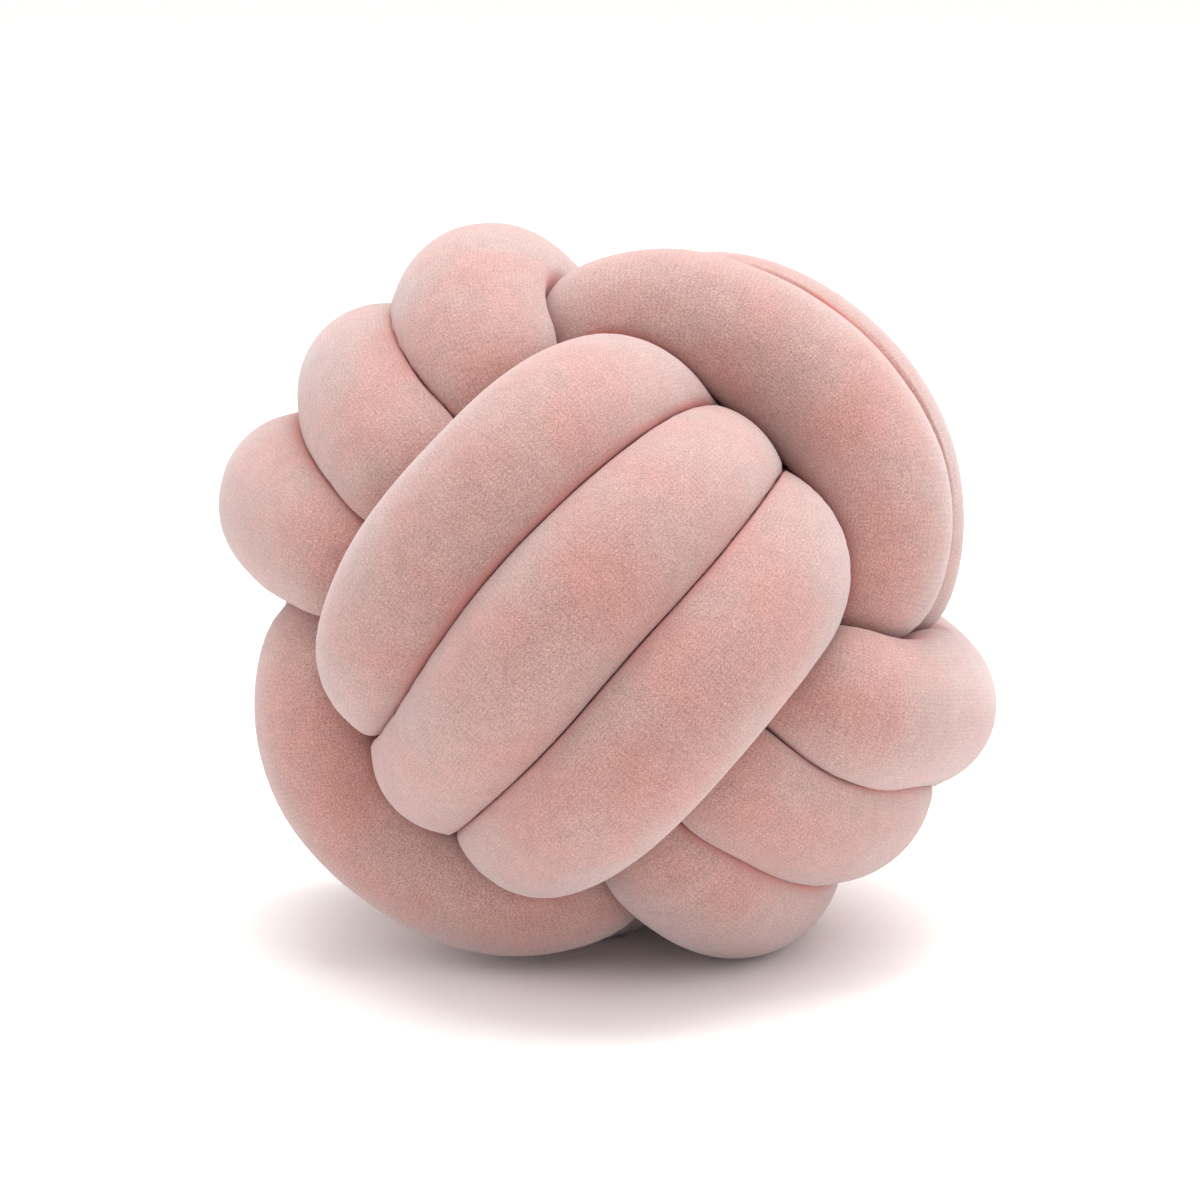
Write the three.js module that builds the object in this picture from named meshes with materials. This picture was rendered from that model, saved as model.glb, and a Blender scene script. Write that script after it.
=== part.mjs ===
// Knot ball cushion. One long stuffed velvet tube is tied as a three-turn monkey's fist and its ends are
// joined inside the ball. Three sets of three turns cross at right angles: the fingers, the front and the
// arcs. Every turn passes over the ball, dives under the next set, comes over the far side and dives again.
// Where two stretches of the tube touch, both are pressed flat, so the ball is full, with closed creases.
// Millimetres, +Z up. The origin lies on the surface that the ball stands on, under the middle of its box.
import * as THREE from 'three';

// Knot axes, through the ball's centre: u runs along the front turns, v across them, n out of the front.
const u = new THREE.Vector3(1, 0, 0);
const v = new THREE.Vector3(0, 1, 0);
const n = new THREE.Vector3(0, 0, 1);

// The tube
const pressedRadius = 30; // radius that the filling would take under another turn, if it had the room
const contactGap = 1.8; // space kept between two stretches that press on each other
const creaseSharpness = 12; // how quickly the round of the tube turns into its pressed flat
const bendRoom = 0.92; // share of the inside of a bend that the tube may fill
const ownLength = 75; // nearer than this along the tube, a stretch belongs to the same bend
const joinFullness = 0.6;

// Each set: the way its turns first come over the ball, the way they then dive, the way they lie side by
// side, the tube's radius where it shows, how far its bends belly out (0.55 is a round bend), and how far
// the tube leans towards the next dive where it passes over the ball and over the far side
const sets = {
  fingers: { over: v, under: n, row: u, radius: 29.9, fullness: 0.61, overLean: 0, farLean: -2 },
  front: { over: n.clone().negate(), under: u.clone().negate(), row: v, radius: 26.7, fullness: 0.59,
    overLean: 0, farLean: -2 },
  arcs: { over: u, under: v.clone().negate(), row: n, radius: 25.7, fullness: 0.64,
    overLean: 6, farLean: 4 },
};

// Each turn: how far the tube's centre line lies from the ball's centre (reach) and where it lies in its
// row (side), at the four places that it passes. After the last finger and the last arc the tube leaves
// for its next set or for the join, so those rows have no dive back.
const columns = [
  'set', 'overReach', 'overSide', 'diveReach', 'diveSide', 'farReach', 'farSide', 'backReach', 'backSide',
];
const turnRows = [
  ['fingers', 99, -60, 68, -34, 103, -28, 69, -20],
  ['fingers', 110, -9, 68, 4, 105, 19, 69, 17],
  ['fingers', 106, 37, 69, 8, 98, 53, null, null],
  ['front', 107, -43, 74, -36, 111, -44, 69, -20],
  ['front', 111, 1, 60, -11, 116, 3, 71, 16],
  ['front', 110, 46, 57, 24, 100, 50, 72, 35],
  ['arcs', 102, -43, 69, -38, 115, -46, 63, -16],
  ['arcs', 111, 9, 68, -1, 100, -1, 65, 4],
  ['arcs', 108, 20, 71, 45, 104, 49, null, null],
];

// The joined ends run through the hollow in the middle of the ball, from the last arc to the first finger
const joinRoute = [
  { along: -17, across: 67, out: 42 },
  { along: 8, across: 4, out: 4 },
  { along: -26, across: -30, out: -52 },
];

// The tube settles inside the ball: crowded stretches push each other apart, and what shows stays put
const settleStepsPerStretch = 8;
const settleRounds = 45;
const settleSpacing = 42; // stretches whose centre lines are nearer than this push each other away
const settleOwnLength = 90; // nearer than this along the tube, nothing pushes
const settleRate = 0.35; // share of the push that is followed in each round
const settleCalm = 8; // keeps a light touch from pushing hard
const settleStiffness = 0.25; // how much of its neighbours' move each point takes, twice a round
const leastMobility = 0.15; // of the stretches that show, when they smooth out
const looseWithin = 78; // distance from the ball's centre within which the tube moves freely
const heldBeyond = 104; // and beyond which it shows and is held

// How the ball stands: degrees that turn the knot axes to where its front looks along -Y
const roll = 41.4;
const nod = 8.6;
const turn = -10.7;
const tipBack = 12;
const flatSpot = 5; // depth that its own weight flattens it where it stands

// Fineness of the faceted solid
const ringsPerStretch = 11;
const sides = 12;
const feelersPerRing = 4;

function placesOfTurn(row) {
  const t = Object.fromEntries(columns.map((name, i) => [name, row[i]]));
  const set = sets[t.set];
  const place = (out, dive, side, radius) => ({
    point: set.row.clone().multiplyScalar(side)
      .addScaledVector(set.over, out).addScaledVector(set.under, dive),
    radius,
    fullness: set.fullness,
  });
  const places = [
    place(t.overReach, set.overLean, t.overSide, set.radius),
    place(0, t.diveReach, t.diveSide, pressedRadius),
    place(-t.farReach, set.farLean, t.farSide, set.radius),
  ];
  if (t.backReach !== null) {
    places.push(place(0, -t.backReach, t.backSide, pressedRadius));
  }
  return places;
}

function placesOfJoin() {
  return joinRoute.map(({ along, across, out }) => ({
    point: new THREE.Vector3(along, across, out),
    radius: pressedRadius,
    fullness: joinFullness,
  }));
}

// The tied line: one closed chain of cubic curves through the places, smooth from one to the next
function tiedLine(places) {
  const count = places.length;
  const heading = (i) => {
    const before = places[(i + count - 1) % count].point;
    const after = places[(i + 1) % count].point;
    return after.clone().sub(before).normalize();
  };
  const line = new THREE.CurvePath();
  places.forEach((from, i) => {
    const to = places[(i + 1) % count];
    const step = to.point.clone().sub(from.point);
    const fullness = (from.fullness + to.fullness) / 2;
    const start = heading(i);
    const end = heading((i + 1) % count);
    line.add(new THREE.CubicBezierCurve3(
      from.point,
      from.point.clone().addScaledVector(start, fullness * Math.abs(step.dot(start))),
      to.point.clone().addScaledVector(end, -fullness * Math.abs(step.dot(end))),
      to.point,
    ));
  });
  return line;
}

// The radius that the filling would take at a distance along the tied line, eased from place to place
function freeRadius(distance, places, line) {
  const ends = line.getCurveLengths();
  const i = ends.findIndex((end) => end >= distance);
  const begin = i === 0 ? 0 : ends[i - 1];
  const eased = THREE.MathUtils.smoothstep(distance, begin, ends[i]);
  return THREE.MathUtils.lerp(places[i].radius, places[(i + 1) % places.length].radius, eased);
}

// How far two points of the closed tube are from each other along it
function alongTube(from, to, length) {
  const apart = Math.abs(from - to);
  return Math.min(apart, length - apart);
}

function pushFromNeighbours(points, i, length) {
  const push = new THREE.Vector3();
  let crowding = settleCalm;
  points.forEach((other, j) => {
    const away = points[i].clone().sub(other);
    const overlap = settleSpacing - away.length();
    const apart = alongTube(i, j, points.length) * (length / points.length);
    if (overlap > 0 && apart > settleOwnLength) {
      push.addScaledVector(away.normalize(), overlap * overlap);
      crowding += overlap;
    }
  });
  return push.divideScalar(crowding);
}

function smoothed(shifts, mobility) {
  const count = shifts.length;
  return shifts.map((shift, i) => {
    const neighbours = shifts[(i + count - 1) % count].clone().add(shifts[(i + 1) % count]);
    const pull = neighbours.addScaledVector(shift, -2);
    return shift.clone().addScaledVector(pull, settleStiffness * Math.max(mobility[i], leastMobility));
  });
}

function settledPoints(tied, length) {
  const mobility = tied.map((point) => (
    1 - THREE.MathUtils.smoothstep(point.length(), looseWithin, heldBeyond)
  ));
  let shifts = tied.map(() => new THREE.Vector3());
  for (let round = 0; round < settleRounds; round += 1) {
    const points = tied.map((point, i) => point.clone().add(shifts[i]));
    shifts.forEach((shift, i) => {
      shift.addScaledVector(pushFromNeighbours(points, i, length), settleRate * mobility[i]);
    });
    shifts = smoothed(smoothed(shifts, mobility), mobility);
  }
  return tied.map((point, i) => point.clone().add(shifts[i]));
}

// How far the tube reaches from its centre line in one direction: its free radius, or less where the
// middle between it and another stretch, or the inside of its own bend, is nearer
function pressedReach(centre, distance, direction, radius, feelers, length) {
  let room = Infinity;
  for (const feeler of feelers) {
    const way = feeler.point.clone().sub(centre);
    const ahead = way.dot(direction);
    const apart = alongTube(feeler.distance, distance, length);
    if (ahead > 0.001 && apart > 0.5) {
      const gap = way.length();
      const squared = apart > ownLength ? gap * (gap - contactGap) : bendRoom * gap * gap;
      room = Math.min(room, squared / (2 * ahead));
    }
  }
  return (radius ** -creaseSharpness + room ** -creaseSharpness) ** (-1 / creaseSharpness);
}

function pressedTube() {
  const places = [...turnRows.flatMap(placesOfTurn), ...placesOfJoin()];
  const tied = tiedLine(places);
  tied.arcLengthDivisions = 2000;
  const tiedLength = tied.getLength();
  const steps = places.length * settleStepsPerStretch;
  const shares = Array.from({ length: steps }, (_, i) => i / steps);
  const radii = shares.map((share) => freeRadius(share * tiedLength, places, tied));
  const points = settledPoints(shares.map((share) => tied.getPointAt(share)), tiedLength);

  const line = new THREE.CatmullRomCurve3(points, true);
  line.arcLengthDivisions = 4000;
  const length = line.getLength();
  const rings = places.length * ringsPerStretch;
  const feelerCount = rings * feelersPerRing;
  const feelers = Array.from({ length: feelerCount }, (_, i) => ({
    point: line.getPointAt(i / feelerCount),
    distance: (i / feelerCount) * length,
  }));

  const tube = new THREE.TubeGeometry(line, rings, 1, sides, true);
  const position = tube.getAttribute('position');
  const vertex = new THREE.Vector3();
  for (let ring = 0; ring <= rings; ring += 1) {
    const share = (ring % rings) / rings;
    const centre = line.getPointAt(share);
    const step = line.getUtoTmapping(share) * steps;
    const before = Math.floor(step) % steps;
    const radius = THREE.MathUtils.lerp(radii[before], radii[(before + 1) % steps], step % 1);
    for (let side = 0; side <= sides; side += 1) {
      const index = ring * (sides + 1) + side;
      const direction = vertex.fromBufferAttribute(position, index).sub(centre).normalize();
      const reach = pressedReach(centre, share * length, direction, radius, feelers, length);
      const point = centre.clone().addScaledVector(direction, reach);
      position.setXYZ(index, point.x, point.y, point.z);
    }
  }
  return tube;
}

// Turns the ball to how it stands, flattens it where it touches the surface and moves it to the origin
function standOnSurface(geometry) {
  const stand = new THREE.Matrix4().makeRotationX(THREE.MathUtils.degToRad(90 - tipBack));
  stand.multiply(new THREE.Matrix4().makeRotationY(THREE.MathUtils.degToRad(turn)));
  stand.multiply(new THREE.Matrix4().makeRotationX(THREE.MathUtils.degToRad(nod)));
  stand.multiply(new THREE.Matrix4().makeRotationZ(THREE.MathUtils.degToRad(roll)));
  geometry.applyMatrix4(stand);
  geometry.computeBoundingBox();
  const floor = geometry.boundingBox.min.z + flatSpot;
  const position = geometry.getAttribute('position');
  for (let i = 0; i < position.count; i += 1) {
    position.setZ(i, Math.max(position.getZ(i), floor));
  }
  geometry.computeBoundingBox();
  const middle = geometry.boundingBox.getCenter(new THREE.Vector3());
  geometry.translate(-middle.x, -middle.y, -floor);
  geometry.computeVertexNormals();
  return geometry;
}

const velvet = new THREE.MeshStandardMaterial({ color: '#d0a89f', roughness: 0.9, metalness: 0 });
const knotTube = new THREE.Mesh(standOnSurface(pressedTube()), velvet);
knotTube.name = 'knot_tube';

const cushion = new THREE.Group();
cushion.add(knotTube);

export default cushion;
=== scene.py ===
# %% [markdown]
# # A velvet knot ball cushion
#
# One long tube of blush-pink velvet is stuffed, tied as a ball-shaped knot with three turns in each of
# three directions, and its two ends are joined out of sight inside. The lesson follows the maker: find the
# route of the tube, press its turns against each other, sew the velvet round it, let the filling plump it,
# and then give it the look of brushed velvet under soft studio light. All sizes are in metres, apart from
# the tables of the knot, which are in millimetres.

import bmesh
import bpy
import numpy as np
from mathutils import Matrix, Vector


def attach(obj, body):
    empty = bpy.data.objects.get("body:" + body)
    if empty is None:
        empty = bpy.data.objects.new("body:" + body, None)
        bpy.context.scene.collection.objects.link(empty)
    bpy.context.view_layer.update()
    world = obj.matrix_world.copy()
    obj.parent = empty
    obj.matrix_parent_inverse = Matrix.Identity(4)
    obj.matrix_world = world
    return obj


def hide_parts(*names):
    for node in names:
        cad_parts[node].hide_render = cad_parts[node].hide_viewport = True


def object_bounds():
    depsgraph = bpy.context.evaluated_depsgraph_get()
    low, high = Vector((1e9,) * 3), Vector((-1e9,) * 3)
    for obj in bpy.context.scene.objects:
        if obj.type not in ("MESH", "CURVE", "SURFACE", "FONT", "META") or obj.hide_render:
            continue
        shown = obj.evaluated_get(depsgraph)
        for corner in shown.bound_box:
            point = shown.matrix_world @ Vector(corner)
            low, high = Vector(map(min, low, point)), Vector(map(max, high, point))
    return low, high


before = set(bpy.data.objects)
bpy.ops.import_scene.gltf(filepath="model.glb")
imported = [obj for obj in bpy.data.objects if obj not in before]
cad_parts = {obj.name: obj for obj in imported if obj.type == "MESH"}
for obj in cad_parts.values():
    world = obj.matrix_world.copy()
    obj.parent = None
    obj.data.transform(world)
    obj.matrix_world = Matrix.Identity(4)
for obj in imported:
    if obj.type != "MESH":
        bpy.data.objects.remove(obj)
cad_box = [list(corner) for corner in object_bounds()]
MM = 0.001
print("CAD box, metres:", cad_box)

# %% [markdown]
# ## The knot as a table
#
# On the real cushion every turn of the tube does the same four things: it passes over the ball, dives
# under the next set of turns, comes over the far side and dives again. So the whole route is a table with
# one row for each turn, and each number has a meaning: how far out the tube runs (reach) and where it lies
# in its row of three (side). After the last finger and the last arc the tube leaves for its next set or
# for the join, so those rows have no dive back.
#
# These numbers aren't worked out from a few driving dimensions. A scratch program fitted them to outlines
# of the strands that were read off the photograph by eye. They were rounded to whole millimetres, and some
# were changed afterwards, so that the stretches make room for each other and the ball stands. The radii,
# fullnesses and leans of the three sets, the first place of the join, the angles at which the ball stands
# and the camera's aim come from the same fit.

# %% The table of turns
ALONG = np.array((1.0, 0.0, 0.0))
ACROSS = np.array((0.0, 1.0, 0.0))
OUT = np.array((0.0, 0.0, 1.0))

# Each set: the way its turns come over the ball, the way they then dive, the way they lie side by side,
# the tube's radius where it shows, how far its bends belly out (0.55 is a round bend), and how far the
# tube leans towards the next dive where it passes over the ball and over the far side
SETS = {
    "fingers": {
        "over": ACROSS, "under": OUT, "row": ALONG, "radius": 29.9, "fullness": 0.61, "leans": (0, -2),
    },
    "front": {
        "over": -OUT, "under": -ALONG, "row": ACROSS, "radius": 26.7, "fullness": 0.59, "leans": (0, -2),
    },
    "arcs": {
        "over": ALONG, "under": -ACROSS, "row": OUT, "radius": 25.7, "fullness": 0.64, "leans": (6, 4),
    },
}
# Over reach and side, dive reach and side, far reach and side, back reach and side
TURNS = [
    ("fingers", 99, -60, 68, -34, 103, -28, 69, -20),
    ("fingers", 110, -9, 68, 4, 105, 19, 69, 17),
    ("fingers", 106, 37, 69, 8, 98, 53, None, None),
    ("front", 107, -43, 74, -36, 111, -44, 69, -20),
    ("front", 111, 1, 60, -11, 116, 3, 71, 16),
    ("front", 110, 46, 57, 24, 100, 50, 72, 35),
    ("arcs", 102, -43, 69, -38, 115, -46, 63, -16),
    ("arcs", 111, 9, 68, -1, 100, -1, 65, 4),
    ("arcs", 108, 20, 71, 45, 104, 49, None, None),
]
# The joined ends run through the middle of the ball: along, across and out
JOIN = [(-17, 67, 42), (8, 4, 4), (-26, -30, -52)]
JOIN_FULLNESS = 0.6
PRESSED_RADIUS = 30  # where the tube dives under another turn, if it had the room


def place(point, radius, fullness):
    return {"point": point * MM, "radius": radius * MM, "fullness": fullness}


def places_of_turn(turn):
    name, over, over_side, dive, dive_side, far, far_side, back, back_side = turn
    its_set = SETS[name]
    over_lean, far_lean = its_set["leans"]
    passes = [
        (over, over_lean, over_side, its_set["radius"]),
        (0, dive, dive_side, PRESSED_RADIUS),
        (-far, far_lean, far_side, its_set["radius"]),
    ]
    if back is not None:
        passes.append((0, -back, back_side, PRESSED_RADIUS))
    return [
        place(
            its_set["over"] * out + its_set["under"] * down + its_set["row"] * side,
            radius, its_set["fullness"],
        )
        for out, down, side, radius in passes
    ]


places = [passed for turn in TURNS for passed in places_of_turn(turn)]
places += [place(np.array(point), PRESSED_RADIUS, JOIN_FULLNESS) for point in JOIN]
print("places that the tube passes:", len(places))

# %% [markdown]
# ## The tied line
#
# Between two places the tube bends like a stiff rope, so each stretch is one cubic curve. Its two handles
# point along the line from the place before to the place after, which makes the whole line smooth, and the
# fullness says how far each bend bellies out.

# %% One closed, smooth line
CURVE_STEPS = 200


def eased(share):
    """A share from 0 to 1 that starts and ends gently."""
    return share**2 * (3 - 2 * share)


def tied_line(places):
    """Points along the closed line through the places, with the tube's free radius at each."""
    start = np.array([passed["point"] for passed in places])
    fullness = np.array([passed["fullness"] for passed in places])
    radii = np.array([passed["radius"] for passed in places])
    end = np.roll(start, -1, axis=0)
    heading = end - np.roll(start, 1, axis=0)
    heading /= np.linalg.norm(heading, axis=1, keepdims=True)
    next_heading = np.roll(heading, -1, axis=0)
    step = end - start
    full = (fullness + np.roll(fullness, -1)) / 2
    leave = full * np.abs((step * heading).sum(axis=1))
    arrive = full * np.abs((step * next_heading).sum(axis=1))
    first = start + heading * leave[:, None]
    second = end - next_heading * arrive[:, None]
    share = (np.arange(CURVE_STEPS) / CURVE_STEPS)[None, :, None]
    rest = 1 - share
    curve = (
        rest**3 * start[:, None] + 3 * rest**2 * share * first[:, None]
        + 3 * rest * share**2 * second[:, None] + share**3 * end[:, None]
    )
    radius = radii[:, None] + (np.roll(radii, -1) - radii)[:, None] * eased(share[..., 0])
    return curve.reshape(-1, 3), radius.reshape(-1)


def evenly(line, count):
    """Values at count places, evenly apart along a closed line whose first columns are x, y and z."""
    closed = np.concatenate([line, line[:1]])
    gaps = np.linalg.norm(np.diff(closed[:, :3], axis=0), axis=1)
    travelled = np.concatenate([[0], np.cumsum(gaps)])
    stops = np.arange(count) / count * travelled[-1]
    columns = [np.interp(stops, travelled, closed[:, k]) for k in range(line.shape[1])]
    return np.stack(columns, axis=1), travelled[-1]


tied, tied_radius = tied_line(places)

# %% [markdown]
# ## Letting the stretches share the room
#
# Inside the ball the dives and the join cross in a small space. In a real knot the hidden stretches push
# each other aside until each has its share. The same is done here in small rounds: a stretch that comes
# too near another is pushed away, the line is smoothed, and what shows on the outside is held.

# %% Settling the line
SETTLE_POINTS_PER_STRETCH = 8
SETTLE_ROUNDS = 45
SETTLE_SPACING = 42 * MM  # stretches nearer than this push each other away
SETTLE_OWN_LENGTH = 90 * MM  # nearer than this along the tube, nothing pushes
SETTLE_RATE = 0.35  # share of the push that is followed in each round
SETTLE_CALM = 8 * MM  # keeps a light touch from pushing hard
SETTLE_STIFFNESS = 0.25  # how much of its neighbours' move each point takes
SMOOTHINGS_PER_ROUND = 2
LEAST_MOBILITY = 0.15  # of the stretches that show, when they smooth out
LOOSE_WITHIN = 78 * MM  # distance from the ball's centre within which the tube moves freely
HELD_BEYOND = 104 * MM  # and beyond which it shows and is held
NEVER_ZERO = 1e-12
POINTS_PER_SETTLED_POINT = 40


def apart_along(at, others, length):
    """How far places on the closed tube are from each other along it."""
    gap = np.abs(np.asarray(at)[:, None] - np.asarray(others)[None])
    return np.minimum(gap, length - gap)


def settle(points, length):
    at = np.arange(len(points)) / len(points) * length
    other_stretch = apart_along(at, at, length) > SETTLE_OWN_LENGTH
    looseness = (HELD_BEYOND - np.linalg.norm(points, axis=1)) / (HELD_BEYOND - LOOSE_WITHIN)
    mobility = eased(np.clip(looseness, 0, 1)[:, None])
    shift = np.zeros_like(points)
    for _ in range(SETTLE_ROUNDS):
        now = points + shift
        away = now[:, None] - now[None]
        distance = np.linalg.norm(away, axis=2) + NEVER_ZERO
        overlap = np.where(other_stretch, np.clip(SETTLE_SPACING - distance, 0, None), 0)
        push = ((overlap**2 / distance)[..., None] * away).sum(axis=1)
        push /= (overlap.sum(axis=1) + SETTLE_CALM)[:, None]
        shift += SETTLE_RATE * mobility * push
        for _ in range(SMOOTHINGS_PER_ROUND):
            pull = np.roll(shift, 1, axis=0) + np.roll(shift, -1, axis=0) - 2 * shift
            shift = shift + SETTLE_STIFFNESS * np.maximum(mobility, LEAST_MOBILITY) * pull
    return points + shift


def rounded(line, factor):
    """A smooth closed curve through every point of the line, with factor times as many points."""
    before, here, after, beyond = (np.roll(line, shift, axis=0)[:, None] for shift in (1, 0, -1, -2))
    share = (np.arange(factor) / factor)[None, :, None]
    curve = 0.5 * (
        2 * here + (after - before) * share + (2 * before - 5 * here + 4 * after - beyond) * share**2
        + (3 * here - before - 3 * after + beyond) * share**3
    )
    return curve.reshape(-1, line.shape[1])


even, tied_length = evenly(np.column_stack([tied, tied_radius]), SETTLE_POINTS_PER_STRETCH * len(places))
settled = np.column_stack([settle(even[:, :3], tied_length), even[:, 3]])
route = rounded(settled, POINTS_PER_SETTLED_POINT)
moved = np.linalg.norm(settled[:, :3] - even[:, :3], axis=1)
print("tied line, metres:", round(tied_length, 3))
print("most that a hidden stretch moved, mm:", round(moved.max() / MM, 1))

# %% [markdown]
# ## Pressing the turns together
#
# A stuffed tube is round until it meets its neighbour, and where two stretches meet they share a flat. For
# a point on the skin this is simple to say: it may go out from the centre line as far as the tube's own
# radius, or as far as the middle between this stretch and the next, whichever comes first. The same rule
# keeps the inside of a tight bend from folding through itself. Where two stretches all but touch, the pile
# of one stands up against the pile of the other, so the skin there goes a little further and meets it.
# The gap that is left is far smaller than the triangles of the mesh. So deep in the ball, out of sight, a
# few dozen triangles of neighbouring stretches still cross, by less than a quarter of a millimetre.

# %% How far the skin may reach
CONTACT_GAP = 0.15 * MM  # space kept between two stretches that press on each other
BEND_ROOM = 0.92  # share of the inside of a bend that the tube may fill
OWN_LENGTH = 75 * MM  # nearer than this along the tube, a stretch belongs to the same bend
SAME_PLACE = 0.5 * MM  # nearer than this along the tube, it is the ring itself
LEAST_AHEAD = 1e-6  # what lies beside a direction or behind it leaves it free
RINGS = 1400
SIDES = 70
FEELERS = 2 * RINGS
RINGS_AT_ONCE = 40

rings, length = evenly(route, RINGS)
centres, radius = rings[:, :3], rings[:, 3]
feelers = evenly(route, FEELERS)[0][:, :3]
ring_at = np.arange(RINGS) / RINGS * length
feeler_at = np.arange(FEELERS) / FEELERS * length


def room_towards(directions):
    """How far the skin can go from its ring's centre in each direction before it meets another stretch."""
    room = np.empty(directions.shape[:2])
    for first in range(0, RINGS, RINGS_AT_ONCE):
        part = slice(first, first + RINGS_AT_ONCE)
        way = feelers[None] - centres[part, None]
        distance = np.linalg.norm(way, axis=2)
        along = apart_along(ring_at[part], feeler_at, length)
        square = np.where(along > OWN_LENGTH, distance * (distance - CONTACT_GAP), BEND_ROOM * distance**2)
        square = np.where(along < SAME_PLACE, np.inf, square)
        ahead = np.matmul(directions[part], way.transpose(0, 2, 1))
        with np.errstate(divide="ignore", invalid="ignore"):
            limit = np.where(ahead > LEAST_AHEAD, square[:, None] / (2 * ahead), np.inf)
        room[part] = limit.min(axis=2)
    return room


# %% [markdown]
# The rings of the skin need two directions across the tube that never twist against each other, or the
# velvet would spiral. They are carried along the line from ring to ring, and the small twist that is left
# over where the line closes is shared out over the whole length.

# %% Rings of the skin
CREASE_SHARPNESS = 24  # how quickly the round of the tube turns into its pressed flat
PILE_REACH = 2.5 * MM  # how much further the pile of two stretches reaches where they all but touch
TAUT_ROUNDS = 6


def ring_directions():
    tangent = np.roll(centres, -1, axis=0) - np.roll(centres, 1, axis=0)
    tangent /= np.linalg.norm(tangent, axis=1, keepdims=True)
    across = np.empty_like(centres)
    across[0] = np.cross(tangent[0], OUT)
    across[0] /= np.linalg.norm(across[0])
    for i in range(1, RINGS):
        carried = across[i - 1] - tangent[i] * (across[i - 1] @ tangent[i])
        across[i] = carried / np.linalg.norm(carried)
    carried = across[-1] - tangent[0] * (across[-1] @ tangent[0])
    twist = np.arctan2(np.cross(across[0], carried) @ tangent[0], across[0] @ carried)
    share = np.arange(RINGS) / RINGS
    angle = 2 * np.pi * np.arange(SIDES)[None] / SIDES - twist * share[:, None]
    other = np.cross(tangent, across)
    return np.cos(angle)[..., None] * across[:, None] + np.sin(angle)[..., None] * other[:, None]


def pressed_reach(own, room):
    """The tube's own radius, or the room that it has where that is less, with a round corner between."""
    free = own + PILE_REACH * np.exp(-np.maximum(room - own, 0) / PILE_REACH)
    return free / (1 + (free / room) ** CREASE_SHARPNESS) ** (1 / CREASE_SHARPNESS)


def drawn_taut(reach):
    """The velvet is taut along the tube, so it can't follow a sharp tip out into a corner."""
    for _ in range(TAUT_ROUNDS):
        beside = np.roll(reach, 1, axis=0) + np.roll(reach, -1, axis=0)
        reach = np.minimum(reach, reach / 2 + beside / 4)
    return reach


directions = ring_directions()
reach = drawn_taut(pressed_reach(radius[:, None], room_towards(directions)))
skin = centres[:, None] + directions * reach[..., None]
girth = np.linalg.norm(np.roll(skin, -1, axis=1) - skin, axis=2).sum(axis=1).mean()
print("tube length, metres:", round(length, 3), "mean girth, mm:", round(girth / MM, 1))

# %% [markdown]
# ## How the ball stands
#
# The knot is worked out about its own centre. It is turned to how it stands on the surface, moved so that
# its box is centred on the frame's origin, and lowered by the depth of its flat spot. What would then lie
# under the surface is pressed flat on it.

# %% Standing it on the surface
ROLL, NOD, TURN, TIP_BACK = 41.4, 8.6, -10.7, 12.0
FLAT_SPOT = 5 * MM


def degrees_about(axis, angle):
    return Matrix.Rotation(np.radians(angle), 3, axis)


stand = np.array(
    degrees_about("X", 90 - TIP_BACK) @ degrees_about("Y", TURN)
    @ degrees_about("X", NOD) @ degrees_about("Z", ROLL)
)
turned = skin @ stand.T
low, high = turned.min(axis=(0, 1)), turned.max(axis=(0, 1))
floor_level = low[2] + FLAT_SPOT
knot_centre = -np.array(((low[0] + high[0]) / 2, (low[1] + high[1]) / 2, floor_level))
print("knot centre in the frame, mm:", (knot_centre / MM).round(1))


def standing(points):
    placed = points @ stand.T + knot_centre
    placed[..., 2] = np.maximum(placed[..., 2], 0)
    return placed


# %% [markdown]
# ## Sewing the velvet round it
#
# Such a cover is a strip of velvet, here a little over five metres long, sewn into a tube along its long
# edges. So the mesh starts as a flat grid, with its own lengthwise and crosswise coordinates in metres,
# and is rolled up: each row of the strip goes round the tube once, then the long edges and the two ends
# are merged. The strip's coordinates stay on the cloth, so the pile can follow the weave round each bend.

# %% The strip, rolled into a tube
HALF_STRIP = 0.5
MERGE_WITHIN = 0.001 * MM
LITRES = 1000  # in a cubic metre


def velvet_tube(name, points, pressed):
    """A closed tube through points, which are given ring by ring and side by side."""
    ring_count, side_count = points.shape[:2]
    bm = bmesh.new()
    uv = bm.loops.layers.uv.new("velvet")
    place_on_strip = bm.verts.layers.int.new("place_on_strip")
    # The mask of the painted crease shade: how pressed each point of the skin is
    crease_shade_layer = bm.verts.layers.float.new("pressed")
    bmesh.ops.create_grid(
        bm, x_segments=ring_count, y_segments=side_count, size=HALF_STRIP, calc_uvs=True,
    )
    for face in bm.faces:
        for loop in face.loops:
            loop[uv].uv = (loop[uv].uv[0] * length, loop[uv].uv[1] * girth)
    for vertex in bm.verts:
        ring = round((vertex.co.x + HALF_STRIP) * ring_count) % ring_count
        side = round((vertex.co.y + HALF_STRIP) * side_count) % side_count
        vertex[place_on_strip] = ring * side_count + side
        vertex[crease_shade_layer] = pressed[ring, side]
        vertex.co = points[ring, side]
    bmesh.ops.remove_doubles(bm, verts=bm.verts, dist=MERGE_WITHIN)
    if bm.calc_volume(signed=True) < 0:
        bmesh.ops.reverse_faces(bm, faces=bm.faces)
    print(name, "vertices", len(bm.verts), "litres", round(bm.calc_volume(signed=True) * LITRES, 2))
    mesh = bpy.data.meshes.new(name)
    bm.to_mesh(mesh)
    bm.free()
    mesh.shade_smooth()
    tube = bpy.data.objects.new(name, mesh)
    bpy.context.scene.collection.objects.link(tube)
    return tube


def places_on_strip(tube):
    found = np.empty(len(tube.data.vertices), dtype=np.int32)
    tube.data.attributes["place_on_strip"].data.foreach_get("value", found)
    return found


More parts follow.
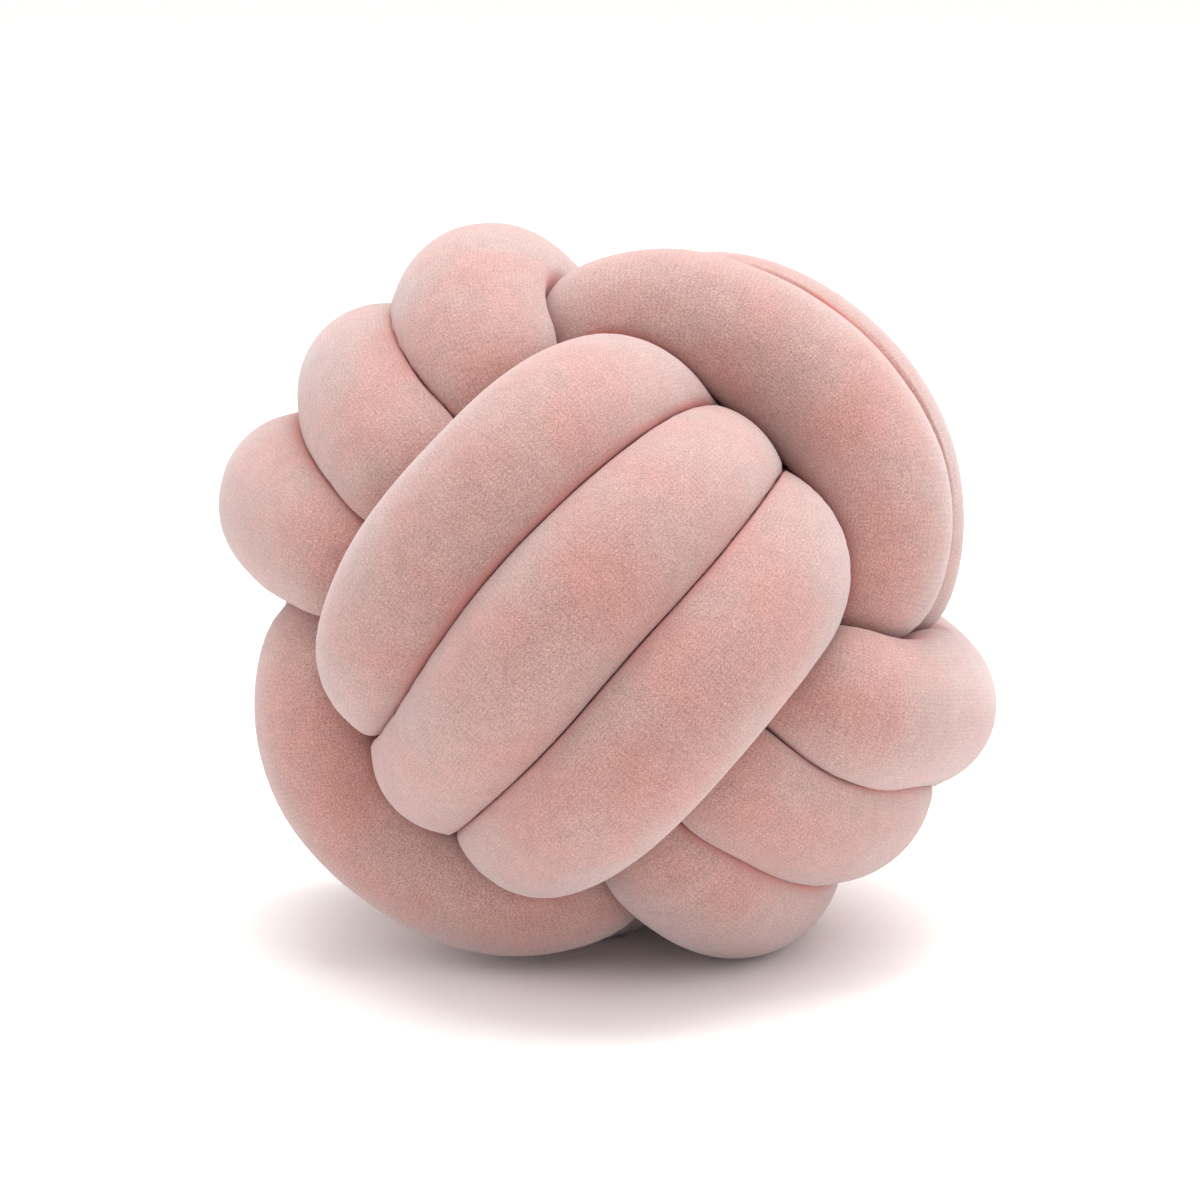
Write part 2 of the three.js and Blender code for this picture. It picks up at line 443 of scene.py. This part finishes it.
# %% [markdown]
# ## Letting the filling plump it
#
# Polyester filling pushes the velvet out everywhere it can. Blender's cloth simulation does the same: a
# coarser copy of the tube becomes a cloth with air pressure inside and no gravity, a little too big for
# the tube, and runs for twenty frames. It starts slimmer than it should end, because it swells. Then its
# moves are spread over the fine strip, and the copy is thrown away.
#
# A cloth that is much too big swells past the ball's outline in the photograph. So this one is only one
# percent too big, and each point may only go outwards, by what its move exceeds that slimmer start, a
# millimetre and a half at most, and never past the middle between its stretch and the next. Little is
# left: the skin moves by less than a tenth of a millimetre on average, and most of it not at all. The
# shape stays that of the pressed tube.

# %% Plumping with the cloth simulation
PLUMP_FRAMES = 20
PLUMP_CAP = 1.5 * MM
SLIMMER = 1 * MM
COARSER = 2
# A shrink_min below zero makes the cloth too big, here by one percent
CLOTH = {
    "quality": 5, "mass": 0.1, "use_pressure": True, "uniform_pressure_force": 4, "shrink_min": -0.01,
    "tension_stiffness": 15, "compression_stiffness": 15, "shear_stiffness": 5, "bending_stiffness": 0.5,
}


def simulated(points):
    """How far the cloth simulation moves a coarse strip of points."""
    cover = velvet_tube("stuffed_cover", points, np.zeros(points.shape[:2]))
    cloth = cover.modifiers.new("stuffed cover", "CLOTH")
    for setting, value in CLOTH.items():
        setattr(cloth.settings, setting, value)
    cloth.settings.effector_weights.gravity = 0
    cloth.point_cache.frame_end = PLUMP_FRAMES
    for number in range(1, PLUMP_FRAMES + 1):
        bpy.context.scene.frame_set(number)
    evaluated = cover.evaluated_get(bpy.context.evaluated_depsgraph_get())
    moved = np.empty(3 * len(cover.data.vertices), dtype=np.float32)
    evaluated.data.vertices.foreach_get("co", moved)
    on_strip = np.empty((points.shape[0] * points.shape[1], 3))
    on_strip[places_on_strip(cover)] = moved.reshape(-1, 3)
    bpy.data.objects.remove(cover)
    bpy.context.scene.frame_set(1)
    return on_strip.reshape(points.shape) - points


def spread(move):
    """The moves of the coarse strip, carried smoothly over the fine one."""
    count, around = move.shape[:2]
    along = rounded(move.reshape(count, -1), COARSER).reshape(count * COARSER, around, 3)
    across = rounded(along.transpose(1, 0, 2).reshape(around, -1), COARSER)
    return across.reshape(around * COARSER, count * COARSER, 3).transpose(1, 0, 2)


def from_centre_line(points):
    """Which way, and how far, each point of the standing skin lies from its ring's centre."""
    out = (points - knot_centre) @ stand - centres[:, None]
    far = np.linalg.norm(out, axis=2)
    return out / far[..., None], far


def plumped(points):
    """The standing skin after the cloth simulation, within its limits."""
    way, far = from_centre_line(points)
    slim = knot_centre + (centres[:, None] + way * (far - SLIMMER)[..., None]) @ stand.T
    outwards = ((spread(simulated(slim[::COARSER, ::COARSER])) @ stand) * way).sum(axis=2)
    middle, most = np.median(outwards) / MM, outwards.max() / MM
    print("cloth moved outwards, mm: middle", round(middle, 2), "most", round(most, 2))
    reached = far + np.clip(outwards - SLIMMER, 0, PLUMP_CAP)
    return standing(centres[:, None] + way * np.minimum(reached, room_towards(way))[..., None])


shape = standing(skin)
shape = plumped(shape)
print("skin moved, mm: mean", round(np.linalg.norm(shape - standing(skin), axis=2).mean() / MM, 2))

# %% [markdown]
# The skin now lies still, so each point can be told how near it is to the stretch that presses on it: 1 in
# the bottom of a crease, falling to 0 where the crease has opened. The velvet's colour uses this later as
# the mask of its painted crease shade.

# %% The finished strip
CREASE_FADE = 0.8 * MM
CLEARLY_PRESSED = 0.3


def pressed_share(points):
    way, far = from_centre_line(points)
    return np.exp(-np.maximum(room_towards(way) - far, 0) / CREASE_FADE)


pressed = pressed_share(shape)
tube = velvet_tube("velvet_knot_tube", shape, pressed)
print("share of the skin that is pressed:", round((pressed > CLEARLY_PRESSED).mean(), 2))

# %% [markdown]
# ## Brushed velvet
#
# Velvet is a woven ground with a dense short pile standing on it. Seen straight on, the eye looks down
# between the fibres and the colour is deep. Seen along the surface, the fibre tips catch the light, so
# every edge has a pale rim: that is the shader's sheen, broad and without a gloss. A hand brushes the pile
# one way here and another way there, which leaves soft pinker and cooler patches. The ribs and rows of the
# ground only just show through the grain of the pile. In the creases the eye sees deep into crushed pile,
# where the light has gone from fibre to fibre and comes back redder. That shade and bounced light is
# painted into the colour, as a deeper red where the skin is pressed. Patches and grain sit on Object
# coordinates. The weave uses the strip's own coordinates, in metres, so it follows the tube round.

# %% Colour and node helpers
def linear(hex_colour):
    """A screen colour as the linear values that shaders and lights take, with full opacity."""
    values = [int(hex_colour[i:i + 2], 16) / 255 for i in (1, 3, 5)]
    return [v / 12.92 if v <= 0.04045 else ((v + 0.055) / 1.055) ** 2.4 for v in values] + [1.0]


def add_node(tree, kind, settings=None, **inputs):
    """A node with its settings, whose inputs are values or the outputs of other nodes."""
    node = tree.nodes.new(kind)
    for name, value in (settings or {}).items():
        setattr(node, name, value)
    for name, value in inputs.items():
        socket = node.inputs[int(name[1:])] if name[0] == "_" else node.inputs[name.replace("_", " ")]
        if isinstance(value, bpy.types.NodeSocket):
            tree.links.new(value, socket)
        else:
            socket.default_value = value
    return node


def noise(tree, where, size, detail, roughness):
    node = add_node(tree, "ShaderNodeTexNoise", Vector=where, Scale=1 / size, Detail=detail,
                    Roughness=roughness)
    return node.outputs["Fac"]


BAND_SCALE = 0.05 * 2 * np.pi  # at a scale of 1, the wave texture has a band each twentieth of 2 pi


def uneven_bands(tree, where, direction, spacing):
    node = add_node(tree, "ShaderNodeTexWave", {"wave_type": "BANDS", "bands_direction": direction},
                    Vector=where, Scale=BAND_SCALE / spacing, Distortion=2.5, Detail=2.0, Detail_Scale=1.0)
    return node.outputs["Fac"]


def stretched(tree, value, limits, interpolation):
    """The value, stretched so that the two limits become 0 and 1."""
    node = add_node(tree, "ShaderNodeMapRange", {"interpolation_type": interpolation},
                    Value=value, From_Min=limits[0], From_Max=limits[1])
    return node.outputs["Result"]


def calculated(tree, operation, *values):
    inputs = {f"_{number}": value for number, value in enumerate(values)}
    return add_node(tree, "ShaderNodeMath", {"operation": operation}, **inputs).outputs[0]


def mixed(tree, share, first, second, blend="MIX"):
    """Two colours mixed. A Mix node has its colours at inputs 6 and 7, and their mix at output 2."""
    node = add_node(tree, "ShaderNodeMix", {"data_type": "RGBA", "blend_type": blend},
                    Factor=share, _6=first, _7=second)
    return node.outputs[2]


# %% Blush velvet
PINK = "#a26a5f"
COOLER_PINK = "#9e746b"
# Painted shade: a deeper, redder colour mixed in where the skin is pressed, standing in for shade and for
# light bounced between fibres in the creases
PAINTED_CREASE_SHADE = "#bb594a"
RIM_TINT = "#f1fcff"
PATCH = 34 * MM
PATCH_LIMITS = (0.34, 0.66)
MOTTLE = 7 * MM
MOTTLE_SHOWS = 0.2
PILE_GRAIN = 0.5 * MM
GRAIN_LIMITS = (0.32, 0.74)
GRAIN_SHOWS = 0.7
RIB_SPACING = 1.35 * MM
ROW_SPACING = 1.2 * MM
WEAVE_SHOWS = 0.07
BUMP_DEPTH = 0.3 * MM


def velvet_material():
    """Polyester velvet, brushed by hand: matt and deep in colour, with pale rims, soft patches and painted
    shade in the creases.
    """
    material = bpy.data.materials.new("brushed_polyester_velvet")
    material.use_nodes = True
    tree = material.node_tree
    tree.nodes.clear()
    where = add_node(tree, "ShaderNodeTexCoord").outputs["Object"]
    strip = add_node(tree, "ShaderNodeUVMap", {"uv_map": "velvet"}).outputs["UV"]
    patch = noise(tree, where, PATCH, detail=2.0, roughness=0.5)
    brushed = stretched(tree, patch, PATCH_LIMITS, "SMOOTHSTEP")
    tone = mixed(tree, brushed, linear(PINK), linear(COOLER_PINK))
    mottle = noise(tree, where, MOTTLE, detail=1.0, roughness=0.5)
    mottled = mixed(tree, MOTTLE_SHOWS, tone, mottle, "SOFT_LIGHT")
    ribs = uneven_bands(tree, strip, "X", RIB_SPACING)
    rows = uneven_bands(tree, strip, "Y", ROW_SPACING)
    weave = calculated(tree, "MULTIPLY", ribs, rows)
    grain = noise(tree, where, PILE_GRAIN, detail=2.0, roughness=0.7)
    pile = calculated(tree, "MULTIPLY_ADD", weave, WEAVE_SHOWS, grain)
    fibres = stretched(tree, pile, GRAIN_LIMITS, "LINEAR")
    grained = mixed(tree, GRAIN_SHOWS, mottled, fibres, "SOFT_LIGHT")
    # Painted crease shade: the colour goes towards a deeper red where the skin is pressed
    crease_shade_mask = add_node(tree, "ShaderNodeAttribute", {"attribute_name": "pressed"}).outputs["Fac"]
    colour = mixed(tree, crease_shade_mask, grained, linear(PAINTED_CREASE_SHADE))
    bump = add_node(tree, "ShaderNodeBump", Height=pile, Strength=0.3, Distance=BUMP_DEPTH)
    velvet = add_node(tree, "ShaderNodeBsdfPrincipled", Base_Color=colour, Normal=bump.outputs["Normal"],
                      Roughness=0.95, Specular_IOR_Level=0.05, Sheen_Weight=0.44, Sheen_Roughness=0.8,
                      Sheen_Tint=linear(RIM_TINT))
    add_node(tree, "ShaderNodeOutputMaterial", Surface=velvet.outputs[0])
    return material


tube.data.materials.clear()
tube.data.materials.append(velvet_material())
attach(tube, "root")
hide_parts("knot_tube")

# %% [markdown]
# ## A pale studio
#
# The floor is one wide pale sheet that fills the view, so there is no horizon. White surroundings light
# the ball from every side, as in a light tent, and lift every shadow. A big soft light hangs overhead and
# a second one beside it, to the right, so that the upper right of each strand is a little brighter than
# its lower left. Two weak lights low on the left and the right keep the flanks round. A scratch program
# first fitted the strengths to the photograph's brightness, and they were then changed by eye.

# %% Floor
FLOOR_SIZE = 60.0


def pale_floor():
    """Unprinted matt paper: even and white, with no gloss, so that only the shadow shows on it."""
    bm = bmesh.new()
    bmesh.ops.create_grid(bm, x_segments=1, y_segments=1, size=FLOOR_SIZE / 2)
    mesh = bpy.data.meshes.new("studio_floor")
    bm.to_mesh(mesh)
    bm.free()
    floor = bpy.data.objects.new("studio_floor", mesh)
    bpy.context.scene.collection.objects.link(floor)
    material = bpy.data.materials.new("matt_white_paper")
    material.use_nodes = True
    shader = material.node_tree.nodes["Principled BSDF"]
    shader.inputs["Base Color"].default_value = linear("#fcfbfa")
    shader.inputs["Roughness"].default_value = 1.0
    shader.inputs["Specular IOR Level"].default_value = 0.0
    mesh.materials.append(material)


pale_floor()

# %% Lights
# Name, place in metres, width in metres and strength in watts
LIGHTS = [
    ("overhead_softbox", (0.0, 0.0, 2.2), 1.6, 37),
    ("key_softbox", (0.9, 0.5, 1.9), 1.6, 22),
    ("left_fill", (-1.9, -0.9, 0.9), 1.2, 3),
    ("right_fill", (2.0, -0.4, 0.6), 1.2, 4),
]
WORLD_STRENGTH = 1.03

ball_middle = (Vector(cad_box[0]) + Vector(cad_box[1])) / 2


def softbox(name, location, size, power):
    """A round white lamp that looks at the middle of the ball."""
    light = bpy.data.lights.new(name, "AREA")
    light.shape = "DISK"
    light.size = size
    light.energy = power
    lamp = bpy.data.objects.new(name, light)
    lamp.location = location
    lamp.rotation_euler = (ball_middle - Vector(location)).to_track_quat("-Z", "Y").to_euler()
    bpy.context.scene.collection.objects.link(lamp)


for light in LIGHTS:
    softbox(*light)

world = bpy.data.worlds.new("white_surroundings")
world.use_nodes = True
background = world.node_tree.nodes["Background"]
background.inputs["Color"].default_value = linear("#ffffff")
background.inputs["Strength"].default_value = WORLD_STRENGTH
bpy.context.scene.world = world
bpy.context.scene.view_settings.view_transform = "Standard"

# %% [markdown]
# ## The camera
#
# A long lens a little over a metre away keeps the near strands from looking swollen. It looks along +Y,
# twelve degrees down, at a point just left of and below the knot's centre.

# %% Camera
CAMERA_DISTANCE = 1300 * MM
CAMERA_RISE = 12.0
LENS = 108.6  # focal length in millimetres, as Blender takes it, with its sensor's width
SENSOR_WIDTH = 36
AIM_RIGHT, AIM_UP = -4.2 * MM, -0.8 * MM

rise = np.radians(CAMERA_RISE)
looking = np.array((0, np.cos(rise), -np.sin(rise)))
upward = np.array((0, np.sin(rise), np.cos(rise)))
spot = knot_centre - looking * CAMERA_DISTANCE + upward * AIM_UP + np.array((AIM_RIGHT, 0, 0))
lens = bpy.data.cameras.new("studio_camera")
lens.lens = LENS
lens.sensor_width = SENSOR_WIDTH
camera = bpy.data.objects.new("studio_camera", lens)
camera.location = spot
camera.rotation_euler = (np.radians(90) - rise, 0, 0)
bpy.context.scene.collection.objects.link(camera)
bpy.context.scene.camera = camera
print("camera at, metres:", [round(float(v), 3) for v in spot])
